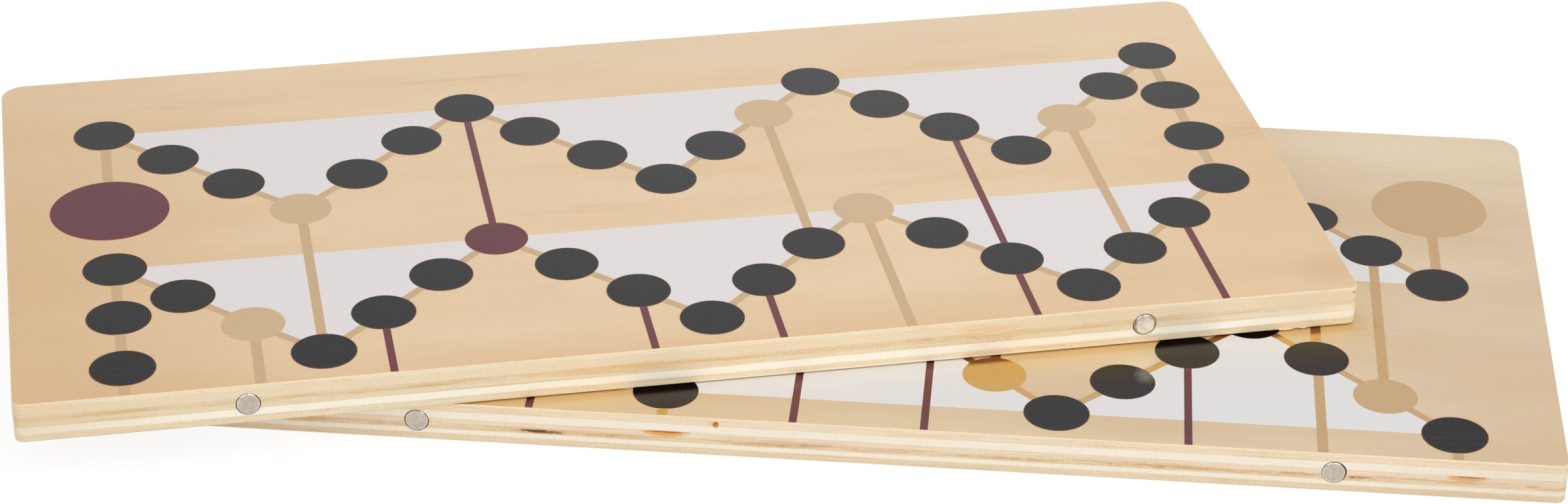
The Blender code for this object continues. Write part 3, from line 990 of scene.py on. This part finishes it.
def make_ink(name, half, groups):
    """Screen ink over the veneer: the grain shows through a little, and a few specks miss their ink."""
    colour, through, share = ink_colours[half][name]
    material, w, place, grain = half_finish(f"{half}_{name}_ink", half, groups)
    specks = w.range(w.noise(w.stretch(place, 0.9, 0.5, 40, (3, 8, 1)), 2, 0.5), 0.78, 0.81)
    shade = w.times_plus(grain["Fibres"], 0.5, w.times(grain["Pores"], 0.5))
    tinted = w.paint(colour, through, shade, share)
    tinted = w.paint(tinted, through, specks, min(1.0, 3 * share))
    matt = metallic = 0.0
    if half == "lower":
        # On the lower half: painted warm light and painted shade near the upper half's edge, and on the black
        # a painted patch of light from the magnet above
        cover, painted_warmth_and_shade = light_from_above(w, groups, place)
        for reach, strength, tint in painted_warmth_on_inks.get(name.split("_")[0], ()):
            tinted = w.paint(tinted, tint, painted_warmth_and_shade[reach], strength)
        if name in painted_warmth_on_inks:
            matt = w.times(painted_warmth_and_shade["Shaded"], 0.8)
        if name == "black":
            # In the strip that mirrors the dark gap, metal's low reflection takes the lacquer's place
            metallic = w.times(painted_warmth_and_shade["Shaded"], 0.95)
            glare = w.times(mark_mask(w, groups, place, **magnet_glare), cover)
            tinted = w.paint(tinted, magnet_glare_colour, glare, magnet_glare_strength)
    roughness = w.maths("ADD", w.times_plus(grain["Fibres"], 0.07, ink_roughness), matt)
    close_finish(w, tinted, roughness, grain_relief(w, grain, ink_pore_depth), metallic)
    return material


pit_colour = seen(92, 76, 62)


def make_nickel(name, bright, dull, roughness_low, roughness_high, pitting, metallic=1.0):
    """Nickel plate, a little clouded, with a few pits."""
    material, w = new_finish(name)
    place = w.add("ShaderNodeMapping", {
        "Vector": w.add("ShaderNodeTexCoord").outputs["Object"], "Scale": (1000, 1000, 1000),
    }).outputs[0]
    tarnish = w.noise(w.stretch(place, 1.3, 1.3, 1.3), 3, 0.6)
    pits = w.range(w.noise(w.stretch(place, 0.30, 0.30, 0.30, (5, 1, 2)), 2, 0.5), 0.68, 0.73)
    colour = w.mix(w.range(tarnish, 0.35, 0.68), bright, dull)
    colour = w.paint(colour, pit_colour, pits, pitting)
    roughness = w.range(tarnish, 0.3, 0.7, roughness_low, roughness_high)
    close_finish(w, colour, roughness, w.times(pits, -0.02), metallic=metallic)
    return material


# Stage

# The floor's tone as it lights the object, its tone as it is seen, and what lifts that to white
floor_tone = 0.62
floor_tone_seen = 0.18
floor_glow_seen = 0.87
floor_size = 12
floor_gap = 0.0002

# The sky's light on the object, and what gloss mirrors of it against white
sky_light = 0.64
sky_middle_gain = 0.27
sky_overhead_loss = 0.64
sky_horizon_share = 0.42

# Each lamp's place, its width and height, and its power. All of them point at the middle of the floor
lamps = {
    "soft_key": ((0.75, -0.45, 1.15), (1.2, 1.0), 7),
    "front_fill": ((-0.2, -1.7, 0.45), (1.6, 0.8), 9.6),
    "left_card": ((-0.62, -0.80, 1.00), (0.7, 1.1), 5.6),
    "right_card": ((0.52, -0.80, 1.00), (0.7, 1.1), 5.6),
}

# The low fill would glare on the lacquer in views from behind. The cards are for the magnets' rims to mirror
lamps_not_mirrored = ("front_fill",)
lamps_only_mirrored = ("left_card", "right_card")

# The photograph's camera, with its turns in degrees
camera_lens = 88.977
camera_sensor_width = 36
camera_place = (0.034207, -0.754837, 0.449646)
camera_swing = 4.45814
camera_fall = 30.19395
camera_roll = 0.82530


def watched_rays(w):
    """1 for rays that show the white background, 0 for those that light the object, and the camera's own."""
    path = w.add("ShaderNodeLightPath").outputs
    seen_or_mirrored = w.maths("MAXIMUM", path["Is Camera Ray"], path["Is Glossy Ray"])
    return w.maths("MAXIMUM", seen_or_mirrored, path["Is Transmission Ray"]), path["Is Camera Ray"]


def make_floor():
    bpy.ops.mesh.primitive_plane_add(size=floor_size, location=(0, 0, -floor_gap))
    floor = bpy.context.object
    floor.name = "studio_floor"
    material, w = new_finish("studio_floor_paper")
    watched = watched_rays(w)[0]
    tone = w.times_plus(watched, floor_tone_seen - floor_tone, floor_tone)
    paper = w.add("ShaderNodeBsdfDiffuse", {"Color": w.combine(tone, tone, tone)}).outputs[0]
    glow = w.add("ShaderNodeEmission", {"Strength": w.times(watched, floor_glow_seen)}).outputs[0]
    both = w.add("ShaderNodeAddShader", {0: paper, 1: glow}).outputs[0]
    w.add("ShaderNodeOutputMaterial", {"Surface": both})
    floor.data.materials.append(material)


def make_world():
    """White where the camera looks, even where it lights, and dimmer overhead and low down in gloss."""
    world = bpy.data.worlds.new("studio")
    bpy.context.scene.world = world
    world.use_nodes = True
    w = Wiring(world.node_tree)
    watched, camera = watched_rays(w)
    across, away, rise = w.split(w.add("ShaderNodeTexCoord").outputs["Generated"])
    middle = w.times(w.range(across, -0.24, -0.06), w.range(across, 0.10, -0.03))
    middle = w.times(middle, w.range(away, 0.0, 0.2))
    mirrored = w.times_plus(middle, sky_middle_gain, 1.0)
    overhead = w.times(w.range(rise, 0.38, 0.60), w.range(away, -0.30, 0.0))
    mirrored = w.times(mirrored, w.times_plus(overhead, -sky_overhead_loss, 1.0))
    mirrored = w.times(mirrored, w.range(rise, 0.10, 0.36, sky_horizon_share, 1.0))
    soft = w.maths("SUBTRACT", 1.0, watched)
    strength = w.times(w.maths("SUBTRACT", watched, camera), mirrored)
    strength = w.maths("ADD", strength, camera)
    strength = w.times_plus(soft, sky_light, strength)
    background = w.add("ShaderNodeBackground", {"Color": (1, 1, 1, 1), "Strength": strength})
    w.add("ShaderNodeOutputWorld", {"Surface": background.outputs[0]})


def make_lamp(name, place, size, power):
    bpy.ops.object.light_add(type="AREA", location=place)
    lamp = bpy.context.object
    lamp.name = name
    lamp.data.shape = "RECTANGLE"
    lamp.data.size, lamp.data.size_y = size
    lamp.data.energy = power
    lamp.rotation_euler = (-Vector(place)).to_track_quat("-Z", "Y").to_euler()
    lamp.visible_glossy = name not in lamps_not_mirrored
    lamp.visible_diffuse = name not in lamps_only_mirrored


def make_camera():
    bpy.ops.object.camera_add()
    camera = bpy.context.object
    camera.name = "photograph_camera"
    camera.data.lens = camera_lens
    camera.data.sensor_fit = "HORIZONTAL"
    camera.data.sensor_width = camera_sensor_width
    camera.matrix_world = (
        Matrix.Translation(camera_place)
        @ Matrix.Rotation(math.radians(camera_swing), 4, "Z")
        @ Matrix.Rotation(math.radians(90 - camera_fall), 4, "X")
        @ Matrix.Rotation(math.radians(camera_roll), 4, "Z")
    )
    bpy.context.scene.camera = camera


# Assembly

def add_print(half, half_frame, groups):
    """The ink films of one half, each in its own colour."""
    inks = {name: make_ink(name, half, groups) for name in ink_colours[half]}
    track = Track(half)
    for piece, ink in print_fields(track) + print_lines(track) + print_dots(track):
        piece.data.materials.clear()
        piece.data.materials.append(inks[ink])
        settle(piece, half_frame)
        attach(piece, f"{half}_half")
        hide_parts(f"{half}_printed_track")
        ink.split("_")[0] + "_ink"


def add_magnets(half, half_frame, nickels):
    reach = panel_length / 2 - magnet_end_distance
    for side in ("left", "right"):
        x = -reach if side == "left" else reach + right_magnet_shift[half]
        low = 0 if side == "left" else right_magnet_drop
        rim, proud, face = magnet_rim_radius, 0, nickels["face"]
        if half == "upper" and side == "right":
            rim, proud, face = proud_magnet_rim_radius, proud_magnet_stand_out, nickels["bright_face"]
        magnet = make_magnet(f"{half}_{side}_magnet_disc", x, low, rim, proud, (face, nickels["rim"]))
        settle(magnet, half_frame)
        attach(magnet, f"{half}_half")
        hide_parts(f"{half}_{side}_magnet")


def make_half(half, groups, nickels):
    wood = make_plywood(half, groups)
    top_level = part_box(f"{half}_top_face_veneer")[1].z
    shift = Matrix.Translation((*half_shifts[half], top_level))
    half_frame = shift @ Matrix.Rotation(half_turns[half], 4, "Z")
    add_print(half, half_frame, groups)
    add_magnets(half, half_frame, nickels)
    if half == "upper":
        torn = make_splinters("upper_edge_splinters")
        torn.data.materials.append(wood)
        settle(torn, half_frame)
        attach(torn, "upper_half")


wood_groups = {
    "grain": make_grain_group(), "mark": make_mark_group(),
    "edge": make_edge_group(), "painted_warmth_and_shade": make_painted_warmth_and_shade_group(),
}
# Each nickel's bright and dull colours, least and greatest roughness, pits' strength, and how metallic it is
nickel_finishes = {
    name: make_nickel(f"nickel_{name}", *looks) for name, looks in (
        ("face", (seen(201, 191, 178), seen(189, 179, 166), 0.30, 0.42, 0.8)),
        ("bright_face", (seen(244, 239, 228), seen(226, 214, 192), 0.25, 0.40, 0.2, 0.1)),
        ("rim", (seen(214, 208, 201), seen(198, 190, 181), 0.06, 0.13, 0.4)),
    )
}
for half_name in ("lower", "upper"):
    make_half(half_name, wood_groups, nickel_finishes)
make_floor()
make_world()
for lamp_name, (lamp_place, lamp_size, lamp_power) in lamps.items():
    make_lamp(lamp_name, lamp_place, lamp_size, lamp_power)
make_camera()
bpy.context.scene.view_settings.view_transform = "Standard"

bpy.context.view_layer.update()
